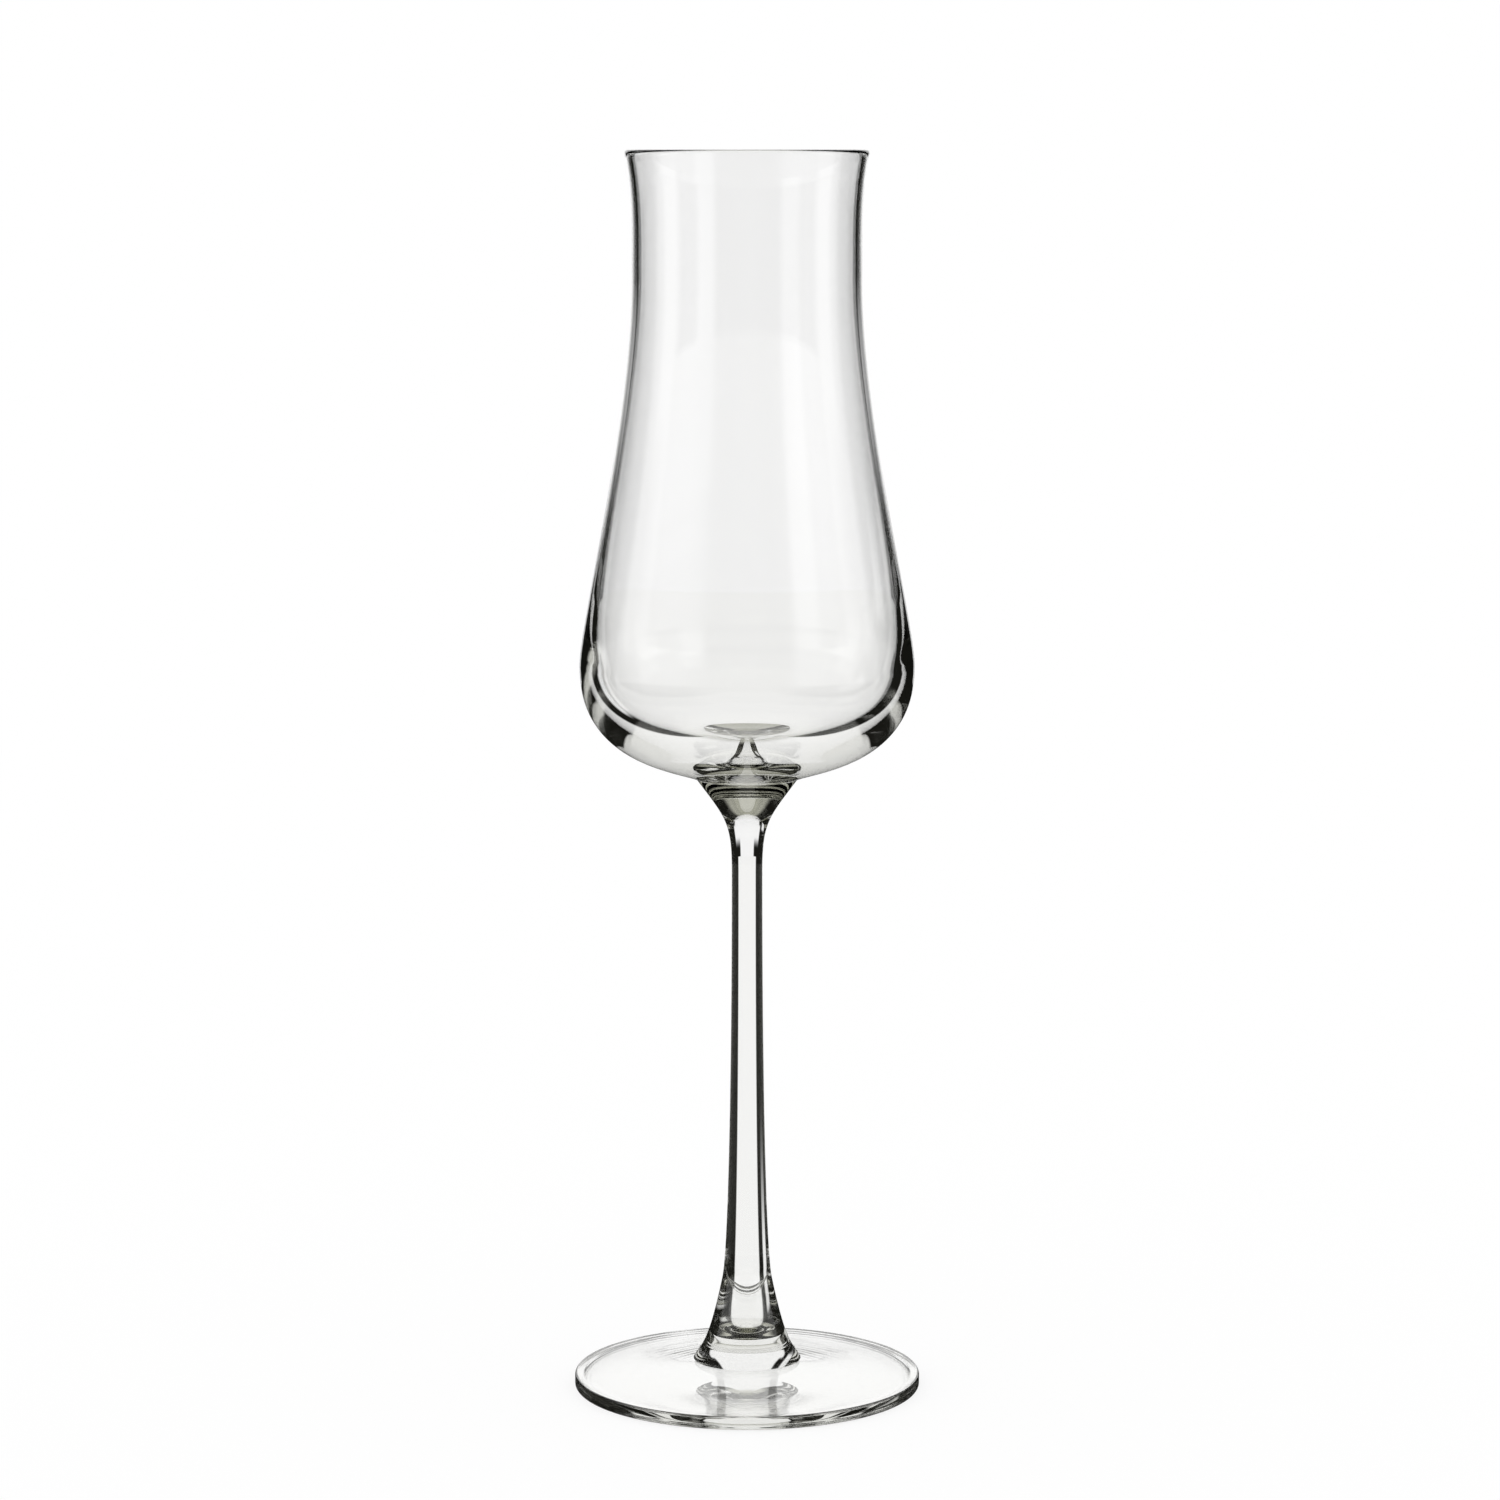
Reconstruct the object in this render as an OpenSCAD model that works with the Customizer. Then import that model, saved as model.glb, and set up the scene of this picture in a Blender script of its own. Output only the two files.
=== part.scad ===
// Champagne glass: a blown bowl with a flared lip and a heavy base, on a collar, a drawn stem, a button and a foot.
// Every piece is turned about the Z axis. The table is at z = 0 and the sizes are in millimetres.

/* [Overall] */
// Height from the table to the top of the rim
height = 231.4; // [224:0.2:240]

/* [Bowl] */
// Outside diameter of the flared rim
rim_d = 44.8; // [43.4:0.2:48]
// Outside diameter of the neck, the narrow ring under the rim
neck_d = 42.4; // [40:0.2:43.2]
// Depth of the neck below the rim
neck_drop = 23; // [18:0.2:28]
// Outside diameter of the belly, the widest ring
belly_d = 62.2; // [56:0.2:68]
// Height of the belly above the table
belly_z = 136.6; // [132:0.2:144]
// Height of the fused joint between the bowl and the collar
bowl_z = 115.4; // [112:0.2:118]
// Wall thickness from the lip down to the shoulder
wall = 1.3; // [1:0.1:1.8]
// Wall thickness at the belly
belly_wall = 2.9; // [2:0.1:4]
// Solid glass between the lowest point of the bowl's floor and the collar
floor_t = 3.9; // [3:0.1:6]
// Thickness of the fire-polished lip
lip_t = 1.2; // [0.8:0.1:1.6]

/* [Collar and stem] */
// Diameter of the collar where it carries the bowl
collar_d = 18.8; // [17:0.2:22]
// Diameter of the stem at its thinnest ring
stem_d = 5.7; // [5:0.1:7]
// Height of the thinnest ring above the table
stem_z = 98; // [94:0.5:101]
// Diameter of the stem where its foot end starts to flare
flare_d = 9.3; // [8:0.1:10.4]
// Height at which the flare starts
flare_z = 20.6; // [19:0.2:24]

/* [Button and foot] */
// Diameter of the button where it sits on the foot
button_d = 20.2; // [18:0.2:24]
// Diameter of the foot
foot_d = 65; // [60:0.5:72]
// Thickness of the foot under the button
foot_t = 5.1; // [4.2:0.1:6]
// Thickness of the foot at its edge
edge_t = 2.5; // [2:0.1:3.4]
// Radius of the foot's rounded edges
edge_round = 0.5; // [0.4:0.1:1]

/* [Hidden] */
$fn = 120;

glass_colour = [0.90, 0.94, 0.93, 0.45];
// Straight steps in one curve of a turned outline
steps = 24;

rim_r = rim_d / 2;
neck_r = neck_d / 2;
neck_z = height - neck_drop;
belly_r = belly_d / 2;
collar_r = collar_d / 2;
stem_r = stem_d / 2;
flare_r = flare_d / 2;
button_r = button_d / 2;
foot_r = foot_d / 2;
floor_z = bowl_z + floor_t;
// The cavity is widest a little above the belly, because the wall swells towards the base
cavity_r = belly_r - belly_wall;
cavity_z = belly_z + 3.7;
// The floor is a shallow dish: its radius, and the height of its edge
dish_r = 18;
dish_z = floor_z + 4.3;
// The foot stands on a narrow flat ring and is hollow inside it, about as thick as its edge
ring_r = foot_r - 1.5;
hollow_r = foot_r - 3.5;
hollow_low = 0.27;
hollow_high = foot_t - 2.3;
hollow_rise = foot_t - 1.2;

// The lip leans out at the slope that the rim curve leaves it with
rim_pull = [-1.6, -7.5];
lip_r = lip_t / 2;
lip_lean = atan2(rim_pull[0], rim_pull[1]) + 180;
lip_centre = [rim_r - lip_r, height - lip_r];
// Sag of the bowl's rounded underside into the collar, and rise of the stem's rounded end into it
bowl_sag = 1.5;
stem_rise = 1;
// Share of the curve under the bowl that is collar, and of the foot flare that is stem
collar_share = 0.48;
stem_share = 0.36;

// Point at share t of a cubic curve through p[0] and p[3], pulled towards p[1] and p[2]
function cubic(p, t) = pow(1 - t, 3) * p[0] + 3 * t * pow(1 - t, 2) * p[1]
    + 3 * t * t * (1 - t) * p[2] + pow(t, 3) * p[3];
function curve(p, from = 0, to = 1) = [for (i = [0:steps]) cubic(p, from + (to - from) * i / steps)];
function arc(centre, r, from, to) =
    [for (i = [0:steps]) let (a = from + (to - from) * i / steps) centre + r * [cos(a), sin(a)]];
// Shallow dome from the axis out to the point edge, higher at the axis by rise
function dome(edge, rise) =
    [for (i = [0:steps]) let (u = i / steps) [edge[0] * u, edge[1] + rise * (1 - u * u)]];
function reversed(list) = [for (i = [len(list) - 1:-1:0]) list[i]];

// Outer outline from the rim down, one curve for each stretch
rim_curve = [
    lip_centre + lip_r * [cos(-lip_lean), sin(-lip_lean)],
    lip_centre + lip_r * [cos(-lip_lean), sin(-lip_lean)] + rim_pull,
    [neck_r, neck_z + 7],
    [neck_r, neck_z]
];
shoulder_curve = [
    [neck_r, neck_z],
    [neck_r, neck_z - 25.5],
    [belly_r, belly_z + 7.5],
    [belly_r, belly_z]
];
base_curve = [
    [belly_r, belly_z],
    [belly_r, belly_z - 18],
    [collar_r + 4.5, bowl_z + 2.25],
    [collar_r, bowl_z]
];
collar_curve = [
    [collar_r, bowl_z],
    [collar_r - 5.4, bowl_z - 7.3],
    [stem_r, stem_z + 9.3],
    [stem_r, stem_z]
];
shaft_curve = [
    [stem_r, stem_z],
    [stem_r, stem_z - 37.5],
    [flare_r - 1.1, flare_z + 5.3],
    [flare_r, flare_z]
];
flare_curve = [
    [flare_r, flare_z],
    [flare_r + 2.8, flare_z - 13.6],
    [button_r - 1.4, foot_t + 2.6],
    [button_r, foot_t]
];
foot_curve = [
    [button_r, foot_t],
    [button_r + 6, foot_t - 1.3],
    [foot_r - 9, edge_t + 0.4],
    [foot_r - edge_round, edge_t]
];

// Outline of the cavity, from the lip down to the floor
cavity_rim_curve = [
    lip_centre - lip_r * [cos(-lip_lean), sin(-lip_lean)],
    lip_centre - lip_r * [cos(-lip_lean), sin(-lip_lean)] + rim_pull,
    [neck_r - wall, neck_z + 7],
    [neck_r - wall, neck_z]
];
cavity_wall_curve = [
    [neck_r - wall, neck_z],
    [neck_r - wall, neck_z - 22.5],
    [cavity_r, cavity_z + 13],
    [cavity_r, cavity_z]
];
cavity_base_curve = [
    [cavity_r, cavity_z],
    [cavity_r, dish_z + 7.3],
    [dish_r + 7, dish_z + 3.29],
    [dish_r, dish_z]
];
dish_curve = [
    [dish_r, dish_z],
    [dish_r - 4, dish_z - 1.88],
    [4, floor_z],
    [0, floor_z]
];

// Outline of the foot's underside, from its flat ring to the axis
ring_curve = [
    [ring_r, 0],
    [ring_r - 0.4, 0],
    [hollow_r + 1.4, hollow_low - 0.07],
    [hollow_r, hollow_low]
];
hollow_curve = [
    [hollow_r, hollow_low],
    [hollow_r - 6, hollow_low + 0.33],
    [button_r + 5.9, hollow_high - 1.3],
    [button_r, hollow_high]
];
crown_curve = [
    [button_r, hollow_high],
    [button_r - 3.6, hollow_high + 0.78],
    [3, hollow_rise],
    [0, hollow_rise]
];

// Fused joint faces, shared by the pieces on both sides
bowl_joint = dome([collar_r, bowl_z], -bowl_sag);
stem_joint = dome(cubic(collar_curve, collar_share), stem_rise);
button_joint = cubic(flare_curve, stem_share);

// Solid of revolution about Z of an outline given as [radius, height] points
module turned(outline) {
    rotate_extrude() polygon(outline);
}

// Blown bowl: outer wall up from the joint, over the lip and down the cavity to the dished floor
module bowl() {
    color(glass_colour) turned(concat(
        bowl_joint,
        reversed(curve(base_curve)),
        reversed(curve(shoulder_curve)),
        reversed(curve(rim_curve)),
        arc(lip_centre, lip_r, -lip_lean, 180 - lip_lean),
        curve(cavity_rim_curve),
        curve(cavity_wall_curve),
        curve(cavity_base_curve),
        curve(dish_curve)
    ));
}

// Collar: solid cone that the bowl and the stem are both fused to
module collar() {
    color(glass_colour) turned(concat(
        bowl_joint,
        curve(collar_curve, 0, collar_share),
        reversed(stem_joint)
    ));
}

// Drawn stem: rounded upper end, thinnest under the collar, flared at the foot end
module stem() {
    color(glass_colour) turned(concat(
        stem_joint,
        curve(collar_curve, collar_share, 1),
        curve(shaft_curve),
        curve(flare_curve, 0, stem_share),
        [[0, button_joint[1]]]
    ));
}

// Button: flared drop of glass between the stem and the foot
module button() {
    color(glass_colour) turned(concat(
        [[0, button_joint[1]]],
        curve(flare_curve, stem_share, 1),
        [[0, foot_t]]
    ));
}

// Pressed foot: shallow cone with a rounded edge and a hollow underside inside a flat ring
module foot() {
    color(glass_colour) turned(concat(
        [[0, foot_t]],
        curve(foot_curve),
        arc([foot_r - edge_round, edge_t - edge_round], edge_round, 90, 0),
        arc([foot_r - edge_round, edge_round], edge_round, 0, -90),
        curve(ring_curve),
        curve(hollow_curve),
        curve(crown_curve)
    ));
}

bowl();
collar();
stem();
button();
foot();
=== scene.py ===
import math

import bmesh
import bpy
from mathutils import Matrix, Vector
from mathutils.geometry import interpolate_bezier


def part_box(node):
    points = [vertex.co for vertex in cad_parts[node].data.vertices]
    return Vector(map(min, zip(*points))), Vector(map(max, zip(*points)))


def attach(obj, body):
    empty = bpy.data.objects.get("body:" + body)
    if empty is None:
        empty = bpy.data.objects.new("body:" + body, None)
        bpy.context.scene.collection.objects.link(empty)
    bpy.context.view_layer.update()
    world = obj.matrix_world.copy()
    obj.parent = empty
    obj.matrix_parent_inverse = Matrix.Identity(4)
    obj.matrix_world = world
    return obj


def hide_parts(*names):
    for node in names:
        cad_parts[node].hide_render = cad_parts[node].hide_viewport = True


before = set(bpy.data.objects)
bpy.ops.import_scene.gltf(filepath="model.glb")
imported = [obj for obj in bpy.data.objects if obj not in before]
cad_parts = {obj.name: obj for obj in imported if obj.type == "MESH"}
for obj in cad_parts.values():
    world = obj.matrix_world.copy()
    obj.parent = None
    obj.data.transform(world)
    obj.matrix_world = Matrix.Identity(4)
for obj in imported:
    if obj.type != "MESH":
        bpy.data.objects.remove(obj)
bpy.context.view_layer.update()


# Foot
# A gather of clear glass pressed and spun into a shallow cone with a fire-polished round edge.
# It is fused to the button above it, is hollowed underneath to an even thickness
# and stands on a narrow flat ring.
mm = 0.001
scene = bpy.context.scene
foot_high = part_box("foot")[1]
foot_r = foot_high.x
foot_top = foot_high.z
foot_edge = 2.5 * mm
foot_round = 0.5 * mm
button_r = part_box("button")[1].x
ring_r = 31 * mm
hollow_r = 29 * mm
hollow_low = 0.27 * mm
hollow_high = 2.8 * mm
hollow_rise = 3.9 * mm


def linear(hex_colour):
    """Linear RGBA of an sRGB hex colour."""
    channels = [int(hex_colour[i:i + 2], 16) / 255 for i in (1, 3, 5)]
    return [c / 12.92 if c <= 0.04045 else ((c + 0.055) / 1.055) ** 2.4 for c in channels] + [1.0]


def add(tree, kind, settings=None, **inputs):
    """Adds a shader node; an input is a value or another node's output socket.

    An input is named with _ for spaces, or i and its number where the node has no names of its own.
    """
    node = tree.nodes.new("ShaderNode" + kind)
    for name, value in (settings or {}).items():
        setattr(node, name, value)
    for name, value in inputs.items():
        key = int(name[1:]) if name[0] == "i" and name[1:].isdigit() else name.replace("_", " ")
        if isinstance(value, bpy.types.NodeSocket):
            tree.links.new(value, node.inputs[key])
        else:
            node.inputs[key].default_value = value
    return node


def clear_glass(name, wave_size, wave_depth, stretch=(1, 1, 1)):
    """Clear soda-lime glass, fire-polished: mirror smooth, with the faint waves of its making.

    It is colourless where it is thin, and its body turns a faint olive grey where it is thick.
    """
    smear_size = 9 * mm
    smear_haze = 0.012
    body_colour = "#F3F3F0"
    body_per_metre = 30.0
    material = bpy.data.materials.new(name)
    material.use_nodes = True
    tree = material.node_tree
    tree.nodes.clear()
    place = add(tree, "TexCoord").outputs["Object"]
    drawn_place = add(tree, "Mapping", Vector=place, Scale=stretch).outputs["Vector"]
    waves = add(tree, "TexNoise", Vector=drawn_place, Scale=1 / wave_size, Detail=1.0).outputs["Fac"]
    smears = add(tree, "TexNoise", Vector=place, Scale=1 / smear_size, Detail=3.0).outputs["Fac"]
    polish = add(tree, "MapRange", Value=smears, From_Min=0.45, From_Max=0.8, To_Min=0.0, To_Max=smear_haze)
    bump = add(tree, "Bump", Strength=1.0, Distance=wave_depth, Height=waves)
    shader = add(tree, "BsdfPrincipled", Base_Color=linear("#FFFFFF"), IOR=1.52, Transmission_Weight=1.0,
                 Roughness=polish.outputs["Result"], Normal=bump.outputs["Normal"])
    body = add(tree, "VolumeAbsorption", Color=linear(body_colour), Density=body_per_metre)
    add(tree, "OutputMaterial", Surface=shader.outputs["BSDF"], Volume=body.outputs["Volume"])
    return material


# Where two gathers are melted together no surface is left between them, so nothing shows there
fused = bpy.data.materials.new("fused_joint")
fused.use_nodes = True
fused.node_tree.nodes.clear()
add(fused.node_tree, "OutputMaterial", Surface=add(fused.node_tree, "BsdfTransparent").outputs["BSDF"])


def turned(name, stretches, material, turns=160):
    """A closed glass piece, turned about Z from stretches of outline: (points, steps, fused or not)."""
    shape = bmesh.new()
    for joint in (True, False):
        outline = []
        for points, steps, is_joint in stretches:
            if is_joint == joint:
                path = [Vector((r, 0, z)) for r, z in points]
                path = interpolate_bezier(*path, steps + 1) if len(path) == 4 else path
                verts = [shape.verts.new(p) for p in path]
                outline += verts + [shape.edges.new(pair) for pair in zip(verts, verts[1:])]
        older = set(shape.faces)
        bmesh.ops.spin(shape, geom=outline, cent=(0, 0, 0), axis=(0, 0, 1), angle=math.pi / 2,
                       steps=turns // 4)
        for face in shape.faces:
            if face not in older:
                face.material_index = int(joint)
                face.smooth = True
    for axis in ("X", "Y"):
        bmesh.ops.mirror(shape, geom=shape.verts[:] + shape.edges[:] + shape.faces[:], matrix=Matrix(),
                         merge_dist=0.0001 * mm, axis=axis)
    bmesh.ops.remove_doubles(shape, verts=shape.verts, dist=0.002 * mm)
    bmesh.ops.recalc_face_normals(shape, faces=shape.faces)
    for edge in shape.edges:
        edge.smooth = len({face.material_index for face in edge.link_faces}) == 1
    mesh = bpy.data.meshes.new(name)
    shape.to_mesh(mesh)
    shape.free()
    piece = bpy.data.objects.new(name, mesh)
    mesh.materials.append(material)
    mesh.materials.append(fused)
    scene.collection.objects.link(piece)
    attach(piece, "root")
    return piece


def quarter(centre, start, end):
    """Control points of a quarter circle about centre, between two (r, z) points."""
    bend = 0.5523
    (cr, cz), (sr, sz), (er, ez) = centre, start, end
    return [start, (sr + bend * (er - cr), sz + bend * (ez - cz)),
            (er + bend * (sr - cr), ez + bend * (sz - cz)), end]


edge_r = foot_r - foot_round
edge_z = foot_edge - foot_round
foot = turned("pressed_foot", [
    ([(0, foot_top), (button_r, foot_top)], 1, True),
    ([(button_r, foot_top), (button_r + 6 * mm, foot_top - 1.3 * mm),
      (foot_r - 9 * mm, foot_edge + 0.4 * mm), (edge_r, foot_edge)], 40, False),
    (quarter((edge_r, edge_z), (edge_r, foot_edge), (foot_r, edge_z)), 10, False),
    ([(foot_r, edge_z), (foot_r, foot_round)], 1, False),
    (quarter((edge_r, foot_round), (foot_r, foot_round), (edge_r, 0)), 10, False),
    ([(edge_r, 0), (ring_r, 0)], 1, False),
    ([(ring_r, 0), (ring_r - 0.4 * mm, 0), (hollow_r + 1.4 * mm, hollow_low - 0.07 * mm),
      (hollow_r, hollow_low)], 12, False),
    ([(hollow_r, hollow_low), (hollow_r - 6 * mm, hollow_low + 0.33 * mm),
      (button_r + 5.9 * mm, hollow_high - 1.3 * mm), (button_r, hollow_high)], 40, False),
    ([(button_r, hollow_high), (button_r - 3.6 * mm, hollow_high + 0.78 * mm),
      (3 * mm, hollow_rise), (0, hollow_rise)], 20, False),
], clear_glass("pressed_glass", 14 * mm, 0.003 * mm))
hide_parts("foot")


# Button
# A small drop of the same glass, dropped hot on the foot and drawn up into the flared end of the stem.
# It is fused to both.
flare_r = 4.65 * mm
flare_z = 20.6 * mm
stem_share = 0.36
flare = [(flare_r, flare_z), (flare_r + 2.8 * mm, flare_z - 13.6 * mm),
         (button_r - 1.4 * mm, foot_top + 2.6 * mm), (button_r, foot_top)]


def part_of(curve, start, end):
    """Control points of the stretch of a cubic curve between two of its shares."""
    def split(points, share):
        left, right = [], []
        while points:
            left.append(points[0])
            right.insert(0, points[-1])
            points = [tuple(a + (b - a) * share for a, b in zip(p, q)) for p, q in zip(points, points[1:])]
        return left, right
    until_end = split(list(curve), end)[0]
    return split(until_end, start / end)[1] if start else until_end


stem_foot = part_of(flare, 0, stem_share)[3]
button = turned("dropped_button", [
    ([(0, stem_foot[1]), stem_foot], 1, True),
    (part_of(flare, stem_share, 1), 40, False),
    ([(button_r, foot_top), (0, foot_top)], 1, True),
], clear_glass("dropped_glass", 6 * mm, 0.003 * mm), 128)
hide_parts("button")


# Stem
# A solid rod drawn from the gather while hot, so its surface carries faint lengthwise lines.
# Its rounded upper end is stuck to the collar and its lower end flares into the button.
stem_r = 2.85 * mm
stem_z = 98 * mm
collar_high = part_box("collar")[1]
collar_r = collar_high.x
bowl_z = collar_high.z
collar_share = 0.48
stem_rise = 1 * mm
drawn_out = (1, 1, 0.06)
under_bowl = [(collar_r, bowl_z), (collar_r - 5.4 * mm, bowl_z - 7.3 * mm),
              (stem_r, stem_z + 9.3 * mm), (stem_r, stem_z)]


def dome(edge, rise):
    """Control points of a shallow dome from the axis out to edge, higher by rise at the axis."""
    r, z = edge
    return [(0, z + rise), (r / 3, z + rise), (2 * r / 3, z + 2 * rise / 3), (r, z)]


stem_top = part_of(under_bowl, 0, collar_share)[3]
stem = turned("drawn_stem", [
    (dome(stem_top, stem_rise), 12, True),
    (part_of(under_bowl, collar_share, 1), 30, False),
    ([(stem_r, stem_z), (stem_r, stem_z - 37.5 * mm),
      (flare_r - 1.1 * mm, flare_z + 5.3 * mm), (flare_r, flare_z)], 80, False),
    (part_of(flare, 0, stem_share), 30, False),
    ([stem_foot, (0, stem_foot[1])], 1, True),
], clear_glass("drawn_glass", 3 * mm, 0.002 * mm, drawn_out), 128)
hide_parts("stem")


# Collar
# A short solid cone of the same clear glass, gathered hot under the bowl and drawn in towards the stem.
# The bowl's rounded underside sinks into its top, and the stem's rounded end is stuck into its lower end.
bowl_sag = 1.5 * mm
collar = turned("gathered_collar", [
    (dome((collar_r, bowl_z), -bowl_sag), 12, True),
    (part_of(under_bowl, 0, collar_share), 40, False),
    (dome(stem_top, stem_rise)[::-1], 12, True),
], clear_glass("gathered_glass", 6 * mm, 0.003 * mm), 128)
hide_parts("collar")


# Bowl
# A bubble of clear glass blown in a turning mould: a thin wall that swells into a heavy solid base.
# Its lip is flared and fire-polished round, its floor is a shallow dish, and its rounded underside
# is fused to the collar.
bowl_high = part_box("bowl")[1]
bowl_top = bowl_high.z
belly_r = bowl_high.x
belly_z = 136.6 * mm
rim_r = 22.4 * mm
neck_r = 21.2 * mm
neck_z = bowl_top - 23 * mm
wall = 1.3 * mm
belly_wall = 2.9 * mm
lip_r = 0.6 * mm
floor_z = bowl_z + 3.9 * mm
dish_r = 18 * mm
dish_z = bowl_z + 8.2 * mm
cavity_r = belly_r - belly_wall
cavity_z = belly_z + 3.7 * mm
throat_r = neck_r - wall
rim_pull = Vector((-1.6, -7.5)) * mm
outward = Vector((-rim_pull.y, rim_pull.x)).normalized()
upward = Vector((-rim_pull.x, -rim_pull.y)).normalized()
lip_centre = Vector((rim_r - lip_r, bowl_top - lip_r))
lip_outer = lip_centre + lip_r * outward
lip_crest = lip_centre + lip_r * upward
lip_inner = lip_centre - lip_r * outward
bowl = turned("blown_bowl", [
    (dome((collar_r, bowl_z), -bowl_sag), 12, True),
    ([(collar_r, bowl_z), (collar_r + 4.5 * mm, bowl_z + 2.25 * mm),
      (belly_r, belly_z - 18 * mm), (belly_r, belly_z)], 60, False),
    ([(belly_r, belly_z), (belly_r, belly_z + 7.5 * mm),
      (neck_r, neck_z - 25.5 * mm), (neck_r, neck_z)], 60, False),
    ([(neck_r, neck_z), (neck_r, neck_z + 7 * mm), lip_outer + rim_pull, lip_outer], 24, False),
    (quarter(lip_centre, lip_outer, lip_crest), 8, False),
    (quarter(lip_centre, lip_crest, lip_inner), 8, False),
    ([lip_inner, lip_inner + rim_pull, (throat_r, neck_z + 7 * mm), (throat_r, neck_z)], 24, False),
    ([(throat_r, neck_z), (throat_r, neck_z - 22.5 * mm),
      (cavity_r, cavity_z + 13 * mm), (cavity_r, cavity_z)], 60, False),
    ([(cavity_r, cavity_z), (cavity_r, dish_z + 7.3 * mm),
      (dish_r + 7 * mm, dish_z + 3.29 * mm), (dish_r, dish_z)], 60, False),
    ([(dish_r, dish_z), (dish_r - 4 * mm, dish_z - 1.88 * mm), (4 * mm, floor_z), (0, floor_z)], 40, False),
], clear_glass("blown_glass", 30 * mm, 0.002 * mm), 192)
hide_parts("bowl")


# Table
# A plain round sheet of white acrylic, polished, whose edge is as white as the room. It keeps the soft
# shadow of the glass, and its face doubles the panels of the studio for what is seen through the glass.
# What only glances off the outside of the glass finds its face dark: painted shade, a glow in the dark tone
# of the tent.
table_drop = 0.1 * mm
table_r = 0.95
glow_share = 0.8
tent_dark = "#1A1A17"
shape = bmesh.new()
bmesh.ops.create_circle(shape, cap_ends=True, segments=96, radius=table_r,
                        matrix=Matrix.Translation((0, 0, -table_drop)))
mesh = bpy.data.meshes.new("table_top")
shape.to_mesh(mesh)
shape.free()
table = bpy.data.objects.new("table_top", mesh)
scene.collection.objects.link(table)


def through_glass(tree):
    """A factor that is 1 for what is seen in or through the glass, and 0 for what is seen directly."""
    path = add(tree, "LightPath").outputs
    return add(tree, "Math", {"operation": "MAXIMUM"}, i0=path["Is Glossy Ray"],
               i1=path["Is Transmission Ray"]).outputs["Value"]


acrylic = bpy.data.materials.new("white_acrylic")
acrylic.use_nodes = True
tree = acrylic.node_tree
tree.nodes.clear()
lit = add(tree, "BsdfDiffuse", Color=linear("#FFFFFF"))
glow = add(tree, "Emission", Color=linear("#FFFFFF"), Strength=1.0)
plain = add(tree, "MixShader", Fac=glow_share, i1=lit.outputs["BSDF"], i2=glow.outputs["Emission"])
polished = add(tree, "BsdfGlossy", Color=linear("#FDFDFC"), Roughness=0.0)
# Painted shade: a dark glow that stands in for the table's face in shade, seen only in what the outside of
# the glass mirrors
shade = add(tree, "Emission", Color=linear(tent_dark), Strength=1.0)
depth = add(tree, "LightPath").outputs["Transmission Depth"]
entered = add(tree, "Math", {"operation": "GREATER_THAN"}, i0=depth, i1=0.5).outputs["Value"]
doubled = add(tree, "MixShader", Fac=entered, i1=shade.outputs["Emission"], i2=polished.outputs["BSDF"])
face = add(tree, "MixShader", Fac=through_glass(tree), i1=plain.outputs["Shader"],
           i2=doubled.outputs["Shader"])
add(tree, "OutputMaterial", Surface=face.outputs["Shader"])
mesh.materials.append(acrylic)


# Studio
# A white room for the camera and the table. The glass itself stands in a dark tent hung with pale panels.
# The gaps between them draw its edges, and the flags, two black cards, draw the lines of its wall.
# A panel is (azimuth from the back, half width, softness of its sides, lowest, highest, softness of its
# ends, colour, share seen straight through the glass, share seen mirrored), with its angles in degrees.
panels = {
    "ceiling": (0, 180, 1, 62, 90, 6, "#C8C8BE", 1, 1),
    "upper backdrop": (0, 27, 1.5, -20, 72, 5, "#FFFFFF", 1, 0),
    "backdrop": (0, 31, 1.5, -20, 22, 4, "#FFFFFF", 1, 0),
    "mirrored backdrop": (0, 25, 1.5, -20, 64, 6, "#FFFFFF", 0, 1),
    "left side": (90, 12, 3, -20, 16, 4, "#FFFFFF", 0.8, 0.8),
    "right side": (-90, 12, 3, -20, 16, 4, "#FFFFFF", 0.8, 0.8),
    "left flag": (28.5, 11.5, 1.5, -20, 1, 4, tent_dark, 1, 1),
    "right flag": (-28.5, 11.5, 1.5, -20, 1, 4, tent_dark, 1, 1),
    "front": (180, 50, 24, -20, 34, 20, "#A8A8A4", 0, 1),
    "left box": (116, 26, 16, -20, 30, 8, "#FFFFFF", 0, 1),
    "right box": (-116, 26, 16, -20, 30, 8, "#FFFFFF", 0, 1),
    "front right window": (225, 10, 4, -20, 27, 6, "#FFFFFF", 1, 1),
    "back left box": (45, 7, 2, 16, 40, 3, "#FFFFFF", 1, 1),
}
world = bpy.data.worlds.new("panel_studio")
scene.world = world
world.use_nodes = True
tree = world.node_tree
tree.nodes.clear()
way = add(tree, "TexCoord").outputs["Generated"]
height = add(tree, "SeparateXYZ", Vector=way).outputs["Z"]
level = add(tree, "VectorMath", {"operation": "MULTIPLY"}, i0=way, i1=(1, 1, 0)).outputs["Vector"]
bearing = add(tree, "VectorMath", {"operation": "NORMALIZE"}, i0=level).outputs["Vector"]
rise = add(tree, "Math", {"operation": "ARCSINE"}, i0=height).outputs["Value"]
tone = linear(tent_dark)
straight_through = add(tree, "LightPath").outputs["Is Transmission Ray"]
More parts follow.
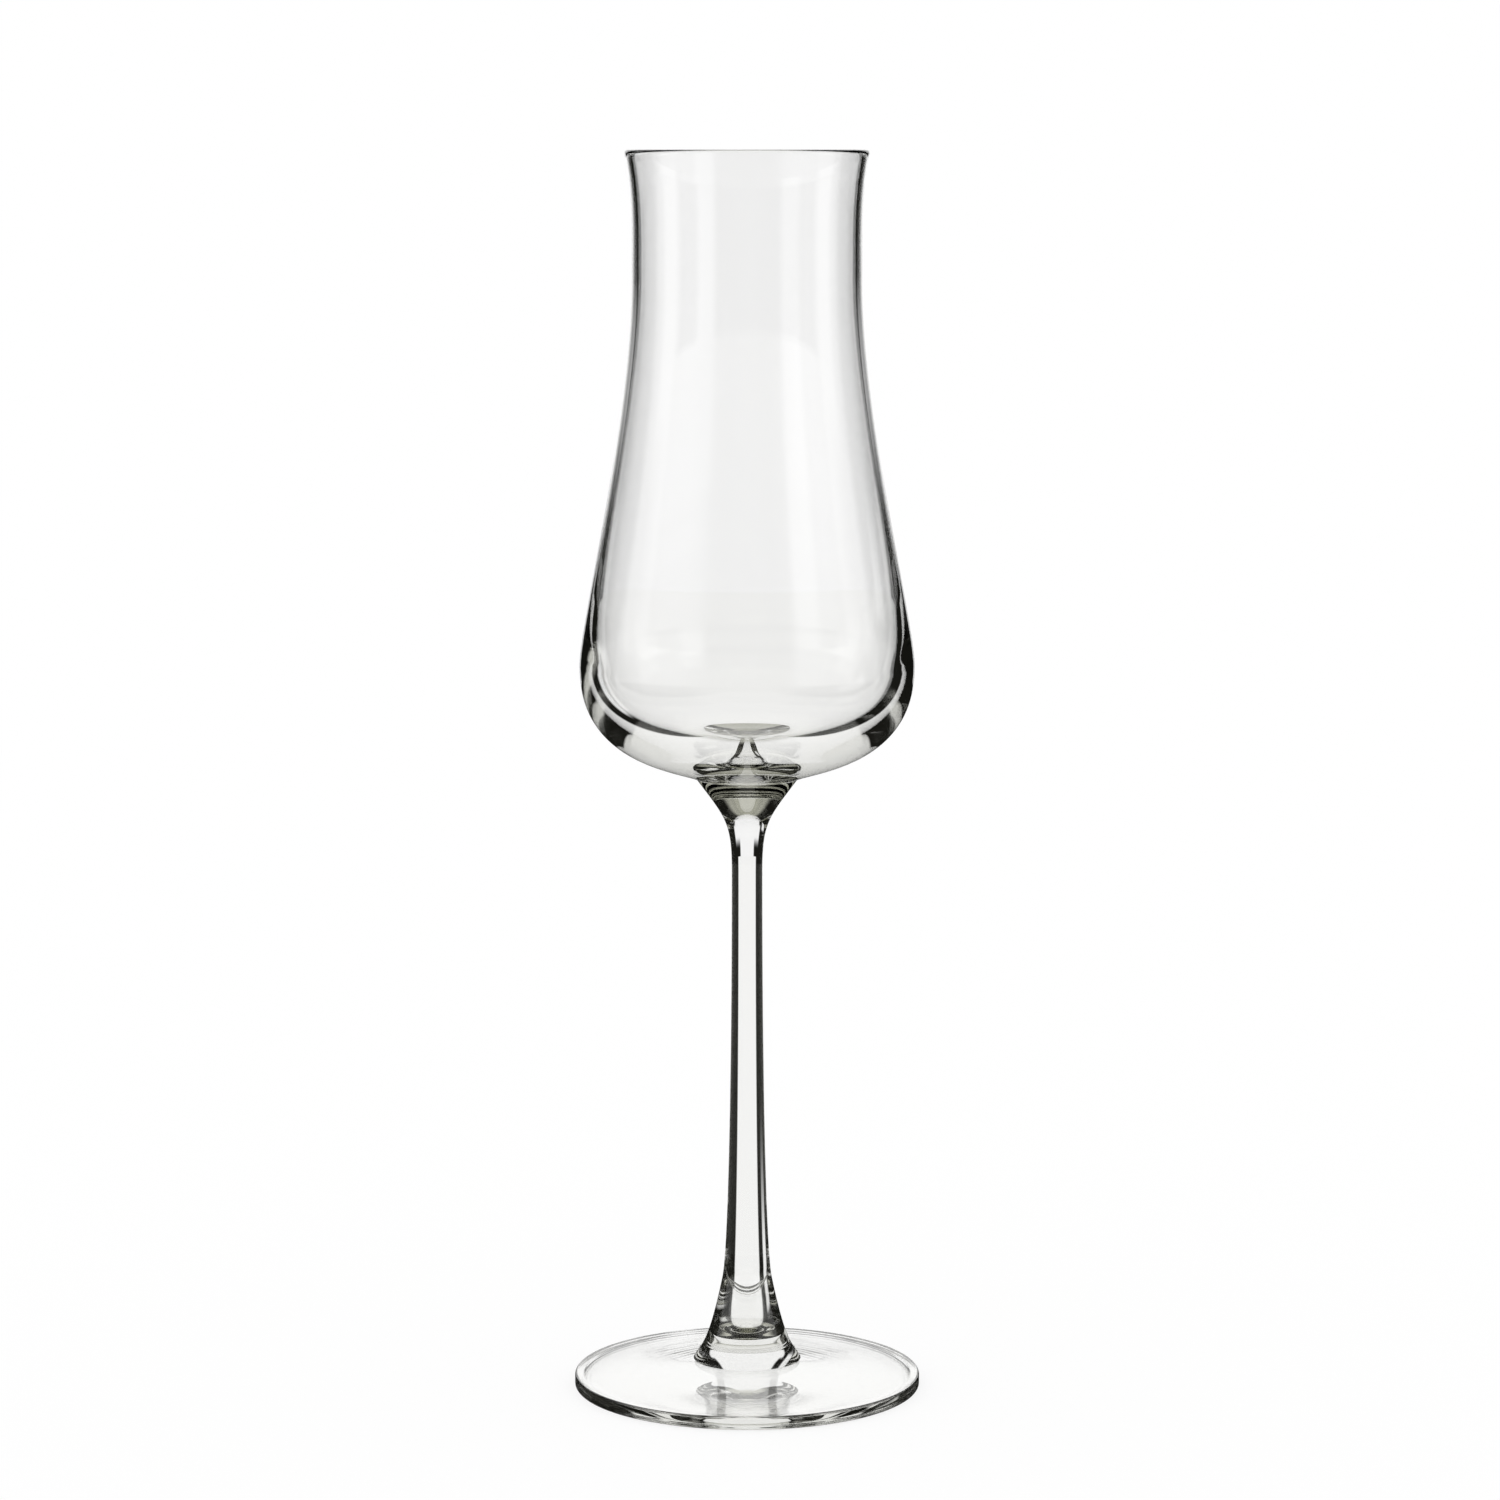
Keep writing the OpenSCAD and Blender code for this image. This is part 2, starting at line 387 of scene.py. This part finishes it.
for panel in panels.values():
    azimuth, half_width, side_soft, lowest, highest, end_soft, colour, straight, in_mirror = panel
    turn = math.radians(azimuth)
    toward = add(tree, "VectorMath", {"operation": "DOT_PRODUCT"}, i0=bearing,
                 i1=(-math.sin(turn), math.cos(turn), 0)).outputs["Value"]
    aside = add(tree, "Math", {"operation": "ARCCOSINE"}, i0=toward).outputs["Value"]
    share = add(tree, "MapRange", Value=straight_through, To_Min=in_mirror, To_Max=straight)
    cover = share.outputs["Result"]
    limits = ((aside, half_width, -side_soft), (rise, lowest, end_soft), (rise, highest, -end_soft))
    for angle, edge, soft in limits:
        within = add(tree, "MapRange", {"interpolation_type": "SMOOTHSTEP"}, Value=angle,
                     From_Min=math.radians(edge - soft), From_Max=math.radians(edge + soft))
        cover = add(tree, "Math", {"operation": "MULTIPLY"}, i0=cover,
                    i1=within.outputs["Result"]).outputs["Value"]
    # The colour sockets of a Mix node are its inputs 6 and 7 and its output 2
    tone = add(tree, "Mix", {"data_type": "RGBA"}, Factor=cover, i6=tone, i7=linear(colour)).outputs[2]
room = add(tree, "Background", Color=linear("#FFFFFF"), Strength=1.0)
tent = add(tree, "Background", Color=tone, Strength=1.0)
seen = add(tree, "MixShader", Fac=through_glass(tree), i1=room.outputs["Background"],
           i2=tent.outputs["Background"])
add(tree, "OutputWorld", Surface=seen.outputs["Shader"])
# Light crosses many glass faces and fused joints before it leaves the base
scene.cycles.max_bounces = 32
scene.cycles.transparent_max_bounces = 48
scene.cycles.transmission_bounces = 32
scene.cycles.glossy_bounces = 16


# Camera
# It stands 0.85 m in front of the glass, level with the rim, and looks down a little, with a long lens.
photo_side = 1500
focal_pixels = 4593
axis_pixel = 747.1
camera_back = 0.846
camera_height = 0.2325
look_down = 7.521
lens = bpy.data.cameras.new("camera")
lens.sensor_width = 36
lens.lens = focal_pixels / photo_side * lens.sensor_width
lens.shift_x = (photo_side / 2 - axis_pixel) / photo_side
camera = bpy.data.objects.new("camera", lens)
camera.location = (0, -camera_back, camera_height)
camera.rotation_euler = (math.radians(90 - look_down), 0, 0)
scene.collection.objects.link(camera)
scene.camera = camera
scene.view_settings.view_transform = "Standard"
